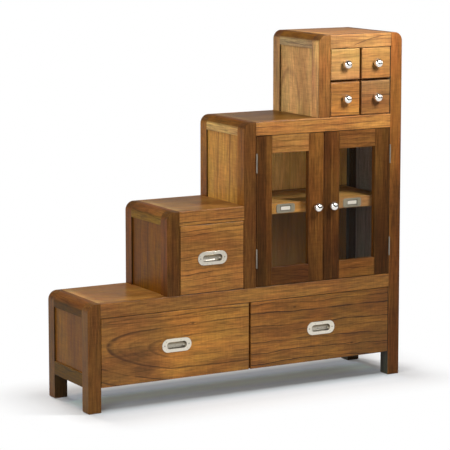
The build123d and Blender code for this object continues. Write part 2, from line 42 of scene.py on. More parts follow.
# ---------------------------------------------------------------- node trees
class Graph:
    """Short names for building one node tree."""

    def __init__(self, tree):
        self.tree = tree

    def add(self, kind, **settings):
        node = self.tree.nodes.new(kind)
        for key, value in settings.items():
            setattr(node, key, value)
        return node

    def put(self, socket, value):
        """Link an output to the socket, or set the socket to a number or colour."""
        if hasattr(value, "is_output"):
            self.tree.links.new(value, socket)
        else:
            socket.default_value = value

    def math(self, operation, a, b=0.0, c=0.0):
        node = self.add("ShaderNodeMath", operation=operation)
        for socket, value in zip(node.inputs, (a, b, c)):
            self.put(socket, value)
        return node.outputs[0]

    def total(self, *terms):
        result = terms[0]
        for term in terms[1:]:
            result = self.math("ADD", result, term)
        return result

    def product(self, *factors):
        result = factors[0]
        for factor in factors[1:]:
            result = self.math("MULTIPLY", result, factor)
        return result

    def minus(self, a, b):
        return self.math("SUBTRACT", a, b)

    def apart(self, a, b):
        """How far a and b are from each other."""
        return self.math("ABSOLUTE", self.minus(a, b))

    def multiply_add(self, a, b, c):
        """a times b, plus c."""
        return self.math("MULTIPLY_ADD", a, b, c)

    def length(self, a, b):
        return self.math("SQRT", self.multiply_add(a, a, self.product(b, b)))

    def vector(self, x, y, z):
        node = self.add("ShaderNodeCombineXYZ")
        for socket, value in zip(node.inputs, (x, y, z)):
            self.put(socket, value)
        return node.outputs[0]

    def split(self, vector):
        node = self.add("ShaderNodeSeparateXYZ")
        self.put(node.inputs[0], vector)
        return node.outputs

    def coordinates(self):
        return self.add("ShaderNodeTexCoord").outputs

    def noise(self, vector, scale=1.0, detail=2.0):
        """Noise from 0 to 1, with 0.5 in the middle."""
        node = self.add("ShaderNodeTexNoise", noise_dimensions="3D")
        self.put(node.inputs["Vector"], vector)
        self.put(node.inputs["Scale"], scale)
        self.put(node.inputs["Detail"], detail)
        self.put(node.inputs["Roughness"], 0.5)
        return node.outputs["Fac"]

    def random(self, value, seed):
        """A random number from 0 to 1 that keeps while value stays the same."""
        node = self.add("ShaderNodeTexWhiteNoise", noise_dimensions="2D")
        self.put(node.inputs["Vector"], self.vector(value, seed, 0.0))
        return node.outputs["Value"]

    def remap(self, value, low, high, to_low=0.0, to_high=1.0, smooth=False):
        kind = "SMOOTHSTEP" if smooth else "LINEAR"
        node = self.add("ShaderNodeMapRange", interpolation_type=kind, clamp=True)
        for socket, number in zip(node.inputs, (value, low, high, to_low, to_high)):
            self.put(socket, number)
        return node.outputs[0]

    def mix(self, factor, a, b, blend="MIX"):
        """Colour a, turning into b with factor. The indices are those of the node's colour sockets."""
        node = self.add("ShaderNodeMix", data_type="RGBA", blend_type=blend)
        for index, value in ((0, factor), (6, a), (7, b)):
            self.put(node.inputs[index], value)
        return node.outputs[2]

    def multiplied(self, colour, tint):
        return self.mix(1.0, colour, tint, "MULTIPLY")

    def steps(self, value, stops, interpolation="LINEAR"):
        """A colour that changes with value; stops are (from, colour) pairs, from low to high."""
        node = self.add("ShaderNodeValToRGB")
        ramp = node.color_ramp
        ramp.interpolation = interpolation
        while len(ramp.elements) < len(stops):
            ramp.elements.new(1.0)
        while len(ramp.elements) > len(stops):
            ramp.elements.remove(ramp.elements[-1])
        for element, (place, colour) in zip(ramp.elements, stops):
            element.position = place
            element.color = rgba(colour)
        self.put(node.inputs[0], value)
        return node.outputs["Color"]

    def bump(self, height, strength, distance):
        node = self.add("ShaderNodeBump")
        node.inputs["Strength"].default_value = strength
        node.inputs["Distance"].default_value = distance
        self.put(node.inputs["Height"], height)
        return node.outputs["Normal"]

    def show_mix(self, factor, first, second):
        """End the material in the first shader, turning into the second with factor."""
        both = self.add("ShaderNodeMixShader")
        for socket, value in zip(both.inputs, (factor, first, second)):
            self.put(socket, value)
        self.put(self.tree.nodes["Material Output"].inputs["Surface"], both.outputs[0])


def rgba(colour):
    return (*colour, 1.0)


def grey(value):
    return (value, value, value)


def scaled(colour, factor):
    return tuple(factor * channel for channel in colour)


def material(name):
    mat = bpy.data.materials.new(name)
    mat.use_nodes = True
    return mat, Graph(mat.node_tree), mat.node_tree.nodes["Principled BSDF"]


def dress(node_name, mat):
    """Give every material slot of a CAD node this material."""
    obj = nodes[node_name]
    if not obj.material_slots:
        obj.data.materials.append(mat)
    for slot in obj.material_slots:
        slot.material = mat
    mat["slot"] = node_name


# ---------------------------------------------------------------- wood figure
def make_figure_group():
    """Growth rings cut by a board's faces. Lengths are in metres.

    The rings are cones round a pith line that runs along the board. Taper Low and Taper High are how
    fast it rises towards the face below and above Pith Along, where the figure closes to an eye if
    one is up and one down, and Lean is how fast it drifts across the board below Pith Along. Spacing
    is a ring's width, Jitter is how many rings it may vary by, Offset shifts the rings, and Waviness
    is about how far they sway.
    """
    group = bpy.data.node_groups.new("wood_figure", "ShaderNodeTree")
    face = group.interface
    for name, value in (
        ("Along", 0.0), ("Across", 0.0), ("Through", 0.0), ("Seed", 0.0),
        ("Pith Along", 0.0), ("Pith Across", 0.3), ("Pith Through", 0.1),
        ("Taper Low", 0.03), ("Taper High", -0.03), ("Lean", 0.0),
        ("Spacing", 0.020), ("Waviness", 0.012), ("Jitter", 2.6), ("Offset", 0.0),
    ):
        socket = face.new_socket(name, in_out="INPUT", socket_type="NodeSocketFloat")
        socket.default_value = value
    for name in ("Line", "Tone", "Fibre", "Pores", "Warmth", "Ripple"):
        face.new_socket(name, in_out="OUTPUT", socket_type="NodeSocketFloat")
    g = Graph(group)
    source = g.add("NodeGroupInput").outputs
    seed = source["Seed"]

    def field(along, across, detail=2.0):
        """Noise with its own scale along and across the grain."""
        vector = g.vector(
            g.multiply_add(source["Along"], along, seed),
            g.product(source["Across"], across),
            g.multiply_add(source["Through"], across, seed),
        )
        return g.noise(vector, detail=detail)

    def swing(noise):
        """Noise that swings both ways from 0."""
        return g.minus(noise, 0.5)

    # the pith line, and how far from it the board is cut
    sway = swing(field(2.4, 3.0, 1.0))
    ripple = swing(field(11.0, 22.0))
    kink = swing(field(38.0, 60.0, 1.0))
    bend = g.multiply_add(kink, 0.05, g.multiply_add(ripple, 0.25, sway))
    bend = g.product(bend, source["Waviness"], 4.0)
    along = g.minus(source["Along"], source["Pith Along"])
    below = g.math("MAXIMUM", g.product(along, -1.0), 0.0)
    above = g.math("MAXIMUM", along, 0.0)
    deep = g.total(g.apart(source["Through"], source["Pith Through"]),
                   g.product(below, source["Taper Low"]), g.product(above, source["Taper High"], -1.0))
    centre = g.total(source["Pith Across"], g.product(below, source["Lean"]))
    wide = g.total(source["Across"], g.product(centre, -1.0), bend)
    radius = g.length(deep, wide)

    # the rings there: a soft rise to a sharp late line, with finer lines between
    year = swing(g.noise(g.vector(radius, seed, 0.0), scale=26.0, detail=1.0))
    rings = g.total(g.math("DIVIDE", radius, source["Spacing"]), source["Offset"],
                    g.product(year, source["Jitter"]))
    phase = g.math("FRACT", rings)
    ring = g.math("FLOOR", rings)
    strong = g.remap(g.random(ring, seed), 0.10, 0.70, 0.35, 1.0)
    soft = g.math("POWER", g.remap(phase, 0.30, 0.95, smooth=True), 2.0)
    sharp = g.product(g.remap(phase, 0.82, 0.91, smooth=True), g.remap(phase, 0.95, 0.99, 1.0, 0.0))
    fine = g.math("FRACT", g.product(rings, 4.0))
    fine = g.product(g.remap(fine, 0.55, 0.95, smooth=True), g.remap(fine, 0.96, 1.0, 1.0, 0.0), 0.30)
    presence = g.remap(field(9.0, 50.0), 0.36, 0.52, 0.45, 1.0, smooth=True)
    line = g.multiply_add(soft, 0.22, sharp)
    line = g.product(g.multiply_add(line, strong, fine), presence)

    # fibres, pores and broad changes of tone
    middling = swing(field(16.0, 180.0))
    streaks = g.multiply_add(middling, 1.15, g.multiply_add(field(40.0, 520.0), 0.45, 0.275))
    pores = g.remap(field(60.0, 800.0, 1.0), 0.60, 0.70)
    shade = swing(g.random(ring, g.total(seed, 5.0)))
    tone = g.total(field(2.4, 13.0, 3.0), g.product(shade, 0.10))
    shifted = g.vector(g.multiply_add(source["Along"], 7.0, g.product(seed, 3.0)),
                       g.product(source["Across"], 16.0), g.product(source["Through"], 16.0))
    warmth = g.noise(shifted, detail=3.0)
    sink = g.add("NodeGroupOutput").inputs
    for name, value in (("Line", line), ("Tone", tone), ("Fibre", streaks), ("Pores", pores),
                        ("Warmth", warmth), ("Ripple", field(210.0, 26.0, 1.0))):
        g.put(sink[name], value)
    return group


wood_figure = make_figure_group()
AXES = {"x": 0, "y": 1, "z": 2}

NOISE_SPAN = (0.2, 0.8)                     # nearly all of a noise lies between these
TONE_SPAN = (0.28, 0.72)                    # from a board's dark to its light wood
WARMTH_SPAN = (0.36, 0.64)                  # from reddish to golden wood
REDDISH, GOLDEN = (1.03, 0.934, 0.94), (1.0, 1.036, 1.0)
BOARD_JUMP = 1.37                           # along the grain, from one board's figure to the next one's
KNOT_SQUEEZE, PATCH_SQUEEZE = 0.45, 0.5     # width over length
KNOT_CORE, PATCH_CORE = 0.3, 0.4            # the evenly dark middle, as a share of the radius
KNOT_REACH, KNOT_PUSH = 4.0, 1.2            # how the grain bends round a knot, in its radius
VEIN_CORE, VEIN_EDGE, VEIN_FADE = 0.0006, 0.0022, 0.02
PORE_DARKNESS, KNOT_DARKNESS = 0.35, 0.75
SMOOTHER, ROUGHER = -0.05, 0.07             # the fibres' change of roughness
LINE_DEPTH, PORE_DEPTH = -0.5, -0.8         # in the bump, beside 1 for the fibres
WOOD_BUMP, METAL_BUMP = (0.35, 0.0002), (0.10, 0.00005)     # strength and distance
FACING = (-0.99, -0.90)                     # of a normal along an axis: facing against it, or not yet


def tinted(g, colour, place, tones):
    """Tint boards by their place: tones is (axis, low, high, [(share, tint), ...]) and the ramp's kind."""
    axis, low, high, stops, *kind = tones
    share = g.remap(place[AXES[axis]], low, high)
    return g.multiplied(colour, g.steps(share, stops, *kind))


def wood(name, grain, across, light, dark, line, line_strength=0.6,
         tones=(), side_tones=None, inner_tones=None, stagger=None, knots=(), patches=(), veins=(),
         roughness=0.40, gloss=0.25, streak=0.42, ripple=0.12, **figure):
    """Lacquered wood. grain and across name axes, and figure sets the inputs of the wood figure.

    tones is a list of tints by place, side_tones is one for the faces that look left, and inner_tones
    is one for the faces that look to the front.
    stagger is (axis, start, pitch, shift, widen): boards that lie a pitch apart get a figure of their
    own, each with wider rings by widen. knots are (along, across, radius), patches, which are darker
    wood, are (along, across, radius, strength), and veins are (from, to, across, slope, curve, strength).
    """
    mat, g, bsdf = material(name)
    coordinates = g.coordinates()
    place = g.split(coordinates["Object"])
    through_axis = ({"x", "y", "z"} - {grain, across}).pop()
    along = flat_along = place[AXES[grain]]
    side = flat_side = place[AXES[across]]
    through = place[AXES[through_axis]]
    if stagger:
        axis, start, pitch, shift, widen = stagger
        board = g.math("FLOOR", g.math("DIVIDE", g.minus(place[AXES[axis]], start), pitch))
        along = g.multiply_add(board, BOARD_JUMP, along)
        side = g.multiply_add(board, shift, side)
        if axis == through_axis:
            through = g.multiply_add(board, -pitch, through)
    dark_knot = 0.0
    for knot_along, knot_across, radius in knots:
        off_along = g.product(g.minus(along, knot_along), KNOT_SQUEEZE)
        off_across = g.minus(side, knot_across)
        reach = g.length(off_along, off_across)
        core = g.remap(reach, radius * KNOT_CORE, radius, 1.0, 0.0, smooth=True)
        dark_knot = g.math("MAXIMUM", dark_knot, core)
        push = g.remap(reach, 0.0, radius * KNOT_REACH, radius * KNOT_PUSH, 0.0, smooth=True)
        side = g.multiply_add(g.math("SIGN", off_across), g.product(push, -1.0), side)

    cut = g.add("ShaderNodeGroup", node_tree=wood_figure)
    for key, value in (("Along", along), ("Across", side), ("Through", through)):
        g.put(cut.inputs[key], value)
    for key, value in figure.items():
        cut.inputs[key.replace("_", " ").title()].default_value = value
    if stagger:
        g.put(cut.inputs["Spacing"], g.multiply_add(board, widen, figure["spacing"]))
    figured = cut.outputs

    colour = g.mix(g.remap(figured["Tone"], *TONE_SPAN, smooth=True), rgba(dark), rgba(light))
    warm = g.remap(figured["Warmth"], *WARMTH_SPAN, smooth=True)
    colour = g.multiplied(colour, g.mix(warm, rgba(REDDISH), rgba(GOLDEN)))
    lift = g.product(g.remap(figured["Fibre"], *NOISE_SPAN, 1.0 - streak, 1.0 + streak),
                     g.remap(figured["Ripple"], *NOISE_SPAN, 1.0 - ripple, 1.0 + ripple))
    colour = g.multiplied(colour, g.vector(lift, lift, lift))
    for patch_along, patch_across, radius, strength in patches:
        reach = g.length(g.product(g.minus(flat_along, patch_along), PATCH_SQUEEZE),
                         g.minus(flat_side, patch_across))
        darker = g.remap(reach, radius * PATCH_CORE, radius, strength, 0.0, smooth=True)
        colour = g.mix(darker, colour, rgba(line))
    marked = g.product(figured["Line"], line_strength)
    for start, end, at, slope, curve, strength in veins:
        step = g.minus(flat_along, start)
        middle = g.multiply_add(g.multiply_add(step, curve, slope), step, at)
        vein = g.product(g.remap(g.apart(flat_side, middle), VEIN_CORE, VEIN_EDGE, 1.0, 0.0, smooth=True),
                         g.remap(flat_along, start, start + VEIN_FADE),
                         g.remap(flat_along, end - VEIN_FADE, end, 1.0, 0.0))
        marked = g.math("MAXIMUM", marked, g.product(vein, strength))
    colour = g.mix(g.math("MINIMUM", marked, 1.0), colour, rgba(line))
    colour = g.mix(g.product(figured["Pores"], PORE_DARKNESS), colour, rgba(line))
    if knots:
        colour = g.mix(g.product(dark_knot, KNOT_DARKNESS), colour, rgba(line))
    for one in tones:
        colour = tinted(g, colour, place, one)
    for axis, one in (("x", side_tones), ("y", inner_tones)):
        if one:
            facing = g.remap(g.split(coordinates["Normal"])[AXES[axis]], *FACING, 1.0, 0.0)
            colour = g.mix(facing, colour, tinted(g, colour, place, one))

    g.put(bsdf.inputs["Base Color"], colour)
    g.put(bsdf.inputs["Roughness"],
          g.remap(figured["Fibre"], *NOISE_SPAN, roughness + SMOOTHER, roughness + ROUGHER))
    bsdf.inputs["Specular IOR Level"].default_value = gloss
    height = g.multiply_add(figured["Line"], LINE_DEPTH, figured["Fibre"])
    height = g.multiply_add(figured["Pores"], PORE_DEPTH, height)
    g.put(bsdf.inputs["Normal"], g.bump(height, *WOOD_BUMP))
    return mat


def dress_wood(node_name, **settings):
    dress(node_name, wood(node_name, **settings))


GOLD = (0.370, 0.162, 0.034)
HONEY = (0.235, 0.094, 0.019)
UMBER = (0.050, 0.017, 0.005)
CHESTNUT = (0.175, 0.066, 0.013)
RUSSET = (0.105, 0.035, 0.008)
SHADE = (0.030, 0.011, 0.004)

# The spans along which tints change.
WIDTH = ("x", -0.6, 0.6)
DEPTH = ("y", -0.14, 0.16)
HEIGHT = ("z", 0.0, 1.2)
LEFT_HALF = ("x", -0.56, 0.0)
RIGHT_HALF = ("x", 0.0, 0.56)
CABINET = ("z", 0.357, 0.912)
SHELF = ("x", 0.08, 0.50)
LOWER_ROW = ("z", 0.92, 1.03)
UPPER_ROW = ("z", 1.04, 1.14)

# ---------------------------------------------------------------- carcass
POSTS = dict(grain="z", across="x", light=CHESTNUT, dark=RUSSET, line=SHADE, line_strength=0.35,
             spacing=0.010, waviness=0.003, streak=0.40, gloss=0.10)
# Painted shade: of the faces that look to the front, those of the rear posts are darker.
POST_FACE_SHADE = [(0.0, (1.0, 1.0, 1.0)), (0.5, (0.36, 0.46, 0.60))]
# The tint all over, and the further tint of the faces that look left, which is painted light from the left,
# less of it on the rear top posts.
POST_TINTS_AND_SIDE_LIGHT = {"left_legs": ((1.0, 1.1, 1.2), (1.1, 1.15, 1.0)),
              "step_posts": ((0.80, 0.90, 0.88), (1.5, 1.2, 0.7)),
              "cabinet_posts": ((0.77, 0.82, 0.90), (2.0, 1.9, 1.2)),
              "top_posts": ((1.08, 1.20, 1.45), (4.0, 5.4, 7.6)),
              "right_posts": ((0.98, 0.99, 1.05), (0.50, 1.30, 4.5))}
for index, (node_name, (tint, side_light_tint)) in enumerate(POST_TINTS_AND_SIDE_LIGHT.items()):
    rise = [(0.0, tint)]
    # Painted light: the right posts get lighter towards the top.
    if node_name == "right_posts":
        rise = [(0.0, scaled(tint, 0.9)), (0.6, tint), (0.9, scaled(tint, 1.2))]
    rear_side_light_tint = scaled(side_light_tint, 0.60) if node_name == "top_posts" else side_light_tint
    dress_wood(node_name, seed=3.1 + 7.7 * index, pith_across=0.8 + 0.3 * index, tones=[(*HEIGHT, rise)],
               side_tones=(*DEPTH, [(0.0, side_light_tint), (0.5, rear_side_light_tint)], "CONSTANT"),
               inner_tones=(*DEPTH, POST_FACE_SHADE, "CONSTANT"), **POSTS)

PANELS = dict(grain="z", across="y", light=GOLD, dark=HONEY, line=RUSSET, line_strength=0.5,
              spacing=0.022, waviness=0.006, streak=0.35, ripple=0.14, gloss=0.10)
# Tints by storey: partly each panel's own tone, partly painted light that is brighter on the higher storeys.
PANEL_TONE_AND_LIGHT = [(0.0, (0.62, 0.56, 0.20)), (0.17, (0.58, 0.50, 0.08)), (0.42, (1.55, 1.80, 1.75)),
               (0.66, (1.80, 2.42, 4.1))]
dress_wood("left_side_panels", seed=2.0, pith_across=0.345, pith_along=5.07, taper_high=-0.45,
           pith_through=-0.62, jitter=0.1, offset=0.225, stagger=("x", -0.62, 0.2885, 0.095, 0.026),
           tones=[(*WIDTH, PANEL_TONE_AND_LIGHT, "CONSTANT")], **PANELS)
dress_wood("right_side_panels", seed=5.0, pith_across=-0.25,
           side_tones=(*WIDTH, [(0.0, (0.90, 1.9, 7.5))]), **PANELS)

SIDE_RAILS = dict(grain="y", across="z", light=CHESTNUT, dark=RUSSET, line=SHADE, line_strength=0.4,
                  gloss=0.06)
SIDE_RAIL_TOPS = [(0.0, (1.62, 1.85, 2.15)), (0.42, (1.12, 1.2, 1.0))]
# Tints of the rails' faces that look left, by storey: partly each rail's own tone, partly painted light that is
# brighter on the higher storeys.
SIDE_RAIL_TONE_AND_LIGHT = [(0.0, (0.42, 0.45, 0.02)), (0.17, (0.80, 1.03, 0.5)), (0.42, (3.2, 5.0, 9.8)),
                   (0.66, (1.85, 3.1, 9.0))]
dress_wood("left_side_rails", seed=11.0, tones=[(*WIDTH, SIDE_RAIL_TOPS, "CONSTANT")],
           side_tones=(*WIDTH, SIDE_RAIL_TONE_AND_LIGHT, "CONSTANT"), **SIDE_RAILS)
dress_wood("right_side_rails", seed=13.0, **SIDE_RAILS)

RAILS = dict(grain="x", across="z", light=GOLD, dark=HONEY, line=UMBER)
RAIL_TONES = [(0.0, (0.88, 0.88, 0.86)), (0.45, (0.86, 0.86, 0.86)), (0.66, (1.08, 1.10, 1.25)),
              (0.74, (1.08, 1.10, 1.25)), (0.95, (0.84, 0.95, 1.35))]
TOP_RAIL_VEINS = ((0.30, 0.394, 1.135, 0.12, 0.0, 0.7), (0.394, 0.549, 1.147, 0.40, -1.1, 0.8))
dress_wood("front_rails", seed=17.0, spacing=0.015, pith_across=-0.4, waviness=0.007, line_strength=0.75,
           stagger=("z", 0.2, 0.2775, 0.0, 0.0), veins=TOP_RAIL_VEINS, tones=[(*HEIGHT, RAIL_TONES)], **RAILS)
dress_wood("rear_rails", seed=19.0, spacing=0.016, pith_across=-0.3, line_strength=0.75, **RAILS)

BOARDS = dict(grain="x", across="y", light=GOLD, dark=HONEY, line=CHESTNUT, line_strength=0.5,
              roughness=0.32, gloss=0.08)
BOARD_TINTS = {"base_board": (1.01, 1.06, 1.20), "step_board": (0.72, 0.78, 0.90),
               "cabinet_board": (0.44, 0.45, 0.30), "top_board": (1.10, 1.02, 0.72)}
# Painted highlight: each board is lighter over this length from its left end, its rounded nose.
BOARD_END, BOARD_END_HIGHLIGHT = 0.06, (1.65, 1.95, 2.3)
for index, (node_name, tint) in enumerate(BOARD_TINTS.items()):
    low_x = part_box(node_name)[0][0]
    end_highlight = tuple(share * channel for share, channel in zip(BOARD_END_HIGHLIGHT, tint))
    dress_wood(node_name, seed=23.0 + 3.3 * index,
               tones=[("x", low_x, low_x + BOARD_END, [(0.0, end_highlight), (0.55, tint)])], **BOARDS)

INNER = dict(light=(0.62, 0.36, 0.11), dark=(0.44, 0.23, 0.06), line=CHESTNUT, line_strength=0.4,
             roughness=0.5)
# Painted shade: the back's faces that look to the front are darker below the shelf than above it.
BACK_SHADE_BELOW_SHELF = [(0.0, (0.42, 0.35, 0.22)), (0.50, (1.05, 1.0, 0.82))]
SHELF_EDGE_TONES = [(0.0, (1.45, 1.50, 1.30)), (0.45, (1.28, 1.30, 1.2)), (0.55, (0.84, 0.96, 1.30))]
dress_wood("back_panels", grain="z", across="x", seed=31.0, ripple=0.05, streak=0.25, spacing=0.012,
           inner_tones=(*CABINET, BACK_SHADE_BELOW_SHELF, "CONSTANT"), **INNER)
dress_wood("base_partition", grain="y", across="z", seed=33.0, light=RUSSET, dark=SHADE, line=SHADE,
           roughness=0.5)
dress_wood("drawer_runners", grain="y", across="x", seed=35.0, **INNER)
dress_wood("small_drawer_dividers", grain="y", across="x", seed=37.0, light=CHESTNUT, dark=RUSSET,
           line=SHADE, line_strength=0.4, roughness=0.5)
dress_wood("cabinet_shelf", grain="x", across="y", seed=39.0,
           tones=[(*WIDTH, [(0.0, (0.80, 0.78, 0.70))])], **INNER)
dress_wood("shelf_cleats", grain="y", across="z", seed=41.0, **INNER)
dress_wood("shelf_edge", grain="x", across="z", seed=43.0, light=(0.56, 0.27, 0.07), dark=HONEY,
           line=CHESTNUT, streak=0.2, line_strength=0.3, tones=[(*SHELF, SHELF_EDGE_TONES)])

# ---------------------------------------------------------------- drawers
DRAWERS = {
    "base_left": dict(
        line_strength=0.8, pith_along=-0.30, pith_across=0.186, pith_through=-0.117, taper_low=0.235,
        taper_high=0.05, lean=0.13, spacing=0.0352, offset=-0.113, jitter=0.25, waviness=0.006,
        seed=51.0, knots=((-0.217, 0.261, 0.004),),
        patches=((-0.435, 0.175, 0.050, 0.42), (-0.400, 0.125, 0.030, 0.40)),
        veins=((-0.56, -0.02, 0.289, -0.05, 0.09, 0.6), (-0.56, -0.10, 0.118, 0.02, 0.03, 0.45)),
        # Tints along the drawer: partly the board's own tone, partly painted light that is brightest near the
        # middle of this drawer.
        tones=[(*LEFT_HALF, [(0.0, (0.74, 0.72, 0.64)), (0.36, (0.84, 0.84, 0.8)), (0.50, (1.34, 1.34, 1.04)),
                             (0.65, (1.26, 1.28, 1.0)), (1.0, (1.0, 1.05, 0.9))])]),
    "base_right": dict(
        pith_across=-0.02, pith_through=-0.05, taper_low=0.05, taper_high=-0.05, spacing=0.022,
        seed=53.0, knots=((0.174, 0.277, 0.0045), (0.404, 0.130, 0.004)),
        # Tints along the drawer: partly the board's own tone, partly painted light that fades towards the
        # right.
        tones=[(*RIGHT_HALF, [(0.0, (0.91, 0.88, 0.72)), (0.6, (0.75, 0.73, 0.57)),
                              (1.0, (0.61, 0.58, 0.43))])]),
    "step": dict(pith_across=0.10, pith_through=-0.05, spacing=0.016, seed=55.0),
    "lower_left": dict(
        line_strength=0.5, pith_across=0.7, spacing=0.020, seed=57.6, waviness=0.006,
        tones=[(*LOWER_ROW, [(0.0, (0.95, 0.92, 0.9)), (1.0, (0.70, 0.72, 0.78))])]),
    "lower_right": dict(
        line_strength=0.5, pith_across=0.75, spacing=0.020, seed=59.0, waviness=0.006,
        tones=[(*LOWER_ROW, [(0.0, (0.68, 0.68, 0.80)), (0.5, (0.62, 0.66, 0.9)),
                             (1.0, (0.48, 0.57, 1.0))])]),
    "upper_left": dict(
        line_strength=0.6, pith_across=0.8, spacing=0.024, seed=61.0, waviness=0.005, line=HONEY,
        tones=[(*UPPER_ROW, [(0.0, (0.84, 0.94, 1.45)), (1.0, (0.94, 1.33, 1.75))])]),
    "upper_right": dict(
        line_strength=0.6, pith_across=0.85, spacing=0.024, seed=63.0, waviness=0.006, line=CHESTNUT,
        tones=[(*UPPER_ROW, [(0.0, (0.68, 0.66, 0.8)), (1.0, (1.04, 1.26, 1.7))])]),
}
FRONTS = dict(line_strength=1.0, **RAILS)
DRAWER_BOXES = dict(grain="y", across="z", light=(0.50, 0.33, 0.17), dark=(0.42, 0.26, 0.12), line=HONEY,
                    roughness=0.5, streak=0.3)
for drawer, figure in DRAWERS.items():
    dress_wood(f"{drawer}_front", **{**FRONTS, **figure})
    dress_wood(f"{drawer}_box", seed=figure["seed"] + 0.5, **DRAWER_BOXES)

# ---------------------------------------------------------------- doors
STILES = dict(grain="z", across="x", light=CHESTNUT, dark=RUSSET, line=SHADE, line_strength=0.5,
              pith_across=1.3, spacing=0.010, waviness=0.003, streak=0.40, gloss=0.08)
DOOR_RAILS = dict(grain="x", across="z", light=HONEY, dark=CHESTNUT, line=UMBER, line_strength=0.7,
                  spacing=0.012, gloss=0.12)
DOOR_RAIL_TINTS = {"left": [(0.0, (0.42, 0.38, 0.38)), (0.5, (1.1, 1.25, 1.6))],
                   "right": [(0.0, (0.93, 0.96, 0.98)), (0.5, (0.66, 0.68, 0.78))]}
STILE_TINTS = {"left": [(0.0, (0.50, 0.55, 0.55)), (0.14, (0.76, 0.84, 0.84)), (0.5, (0.78, 0.82, 0.85))],
               "right": [(0.0, (0.44, 0.43, 0.46)), (0.10, (0.64, 0.66, 0.70)), (0.5, (0.52, 0.58, 0.62)),
                         (0.88, (0.45, 0.50, 0.52))]}
# Painted light: the stiles get lighter towards the top.
STILE_LIGHT_RISE = [(0.0, (0.85, 0.85, 0.85)), (1.0, (1.20, 1.20, 1.20))]
for side, seed in (("left", 71.0), ("right", 81.0)):
    low_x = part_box(f"{side}_door_stiles")[0][0]
    high_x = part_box(f"{side}_door_stiles")[1][0]
    low_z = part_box(f"{side}_door_rails")[0][2]
    high_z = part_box(f"{side}_door_rails")[1][2]
    dress_wood(f"{side}_door_stiles", seed=seed, tones=[("x", low_x, high_x, STILE_TINTS[side], "CONSTANT"),
                                                        ("z", low_z, high_z, STILE_LIGHT_RISE)], **STILES)
    dress_wood(f"{side}_door_rails", seed=seed + 2,
               tones=[("z", low_z, high_z, DOOR_RAIL_TINTS[side], "CONSTANT")], **DOOR_RAILS)
    dress_wood(f"{side}_door_beads", seed=seed + 4, **STILES)

# ---------------------------------------------------------------- metal, glass and card
# Painted shade, in a pull's recess and on a card's margin.
PAINTED_SHADE = (0.10, 0.085, 0.06)
CUP_CEILING_SHADE = (0.42, 0.38, 0.31)        # painted shade on a cup's wall above its middle
CUP_WALL = (-0.0035, 0.0045)            # heights from a cup's middle, between which that painted shade sets in
BETWEEN_CUPS = (0.30, 0.36)             # heights between the base and step pulls
RIM_SHADE = (0.30, 0.26, 0.20)                # painted shade on a plate's edges
# Painted shade in a screw's slot.
SCREW_SLOT_SHADE = (0.08, 0.07, 0.06)
SCREW_SPAN = (0.0012, 0.0028)           # radii between which a screw's dark slot fades
SEAT_DEPTH, SEAT_SHADE = 0.008, 0.06    # how far before its seat a knob starts to darken as painted shade, and to what


def metal(name, colour, roughness, mottle, recess=None, seat=None, cups=(), screws=()):
    """Nickel with fine wear in its sheen and tone.

    In front of recess, in Y, its edges are darker, as painted shade. Behind it, painted shade darkens it
    where it faces down or left, and above cups, the heights of the lower and upper cups' middles, while a
    painted highlight lightens it below them. It darkens towards seat, in Y, as painted shade. screws are
    the (x, z) places of screw heads, which are darkened in their slots as painted shade.
    """
    mat, g, bsdf = material(name)
    coordinates = g.coordinates()
    place = coordinates["Object"]
    x, y, z = g.split(place)
    cloud = g.noise(place, scale=140.0, detail=4.0)
    finish = g.mix(cloud, rgba(scaled(colour, 1.0 - mottle)), rgba(colour))
    if recess is not None:
        normal = g.split(coordinates["Normal"])
        # Painted shade: inside the recess it is darker where it faces down or left, and above a cup's middle; a
        # painted highlight lightens it below that middle.
        painted_facing_shade = g.product(g.remap(normal[2], -0.5, 0.3, 0.25, 1.0), g.remap(normal[0], -0.5, 0.4, 0.5, 1.0))
        rise = g.minus(z, g.remap(z, *BETWEEN_CUPS, *cups))
        painted_cup_light = g.mix(g.remap(rise, *CUP_WALL), rgba(grey(1.12)), rgba(CUP_CEILING_SHADE))
        painted_recess_shading = g.multiplied(g.mix(painted_facing_shade, rgba(PAINTED_SHADE), rgba(grey(1.0))), painted_cup_light)
        # Painted shade on the plate's edges in front of the recess, where they turn away from the front.
        painted_rim_shade = g.mix(g.remap(g.math("ABSOLUTE", normal[1]), 0.70, 0.98), rgba(RIM_SHADE), rgba(grey(1.0)))
        finish = g.multiplied(finish, g.mix(g.math("GREATER_THAN", y, recess), painted_rim_shade, painted_recess_shading))
    # Painted shade: the screw heads are dark in their slots.
    for screw_x, screw_z in screws:
        off = g.length(g.minus(x, screw_x), g.minus(z, screw_z))
        finish = g.mix(g.remap(off, *SCREW_SPAN, 0.75, 0.0), finish, rgba(SCREW_SLOT_SHADE))
    # Painted shade: the knob darkens towards its seat.
    if seat is not None:
        painted_seat_shade = g.remap(y, seat - SEAT_DEPTH, seat, 1.0, SEAT_SHADE)
        finish = g.multiplied(finish, g.vector(painted_seat_shade, painted_seat_shade, painted_seat_shade))
    g.put(bsdf.inputs["Base Color"], finish)
    g.put(bsdf.inputs["Roughness"], g.remap(cloud, 0.3, 0.7, roughness * 0.8, roughness * 1.25))
    bsdf.inputs["Metallic"].default_value = 1.0
    g.put(bsdf.inputs["Normal"], g.bump(g.noise(place, scale=700.0), *METAL_BUMP))
    return mat


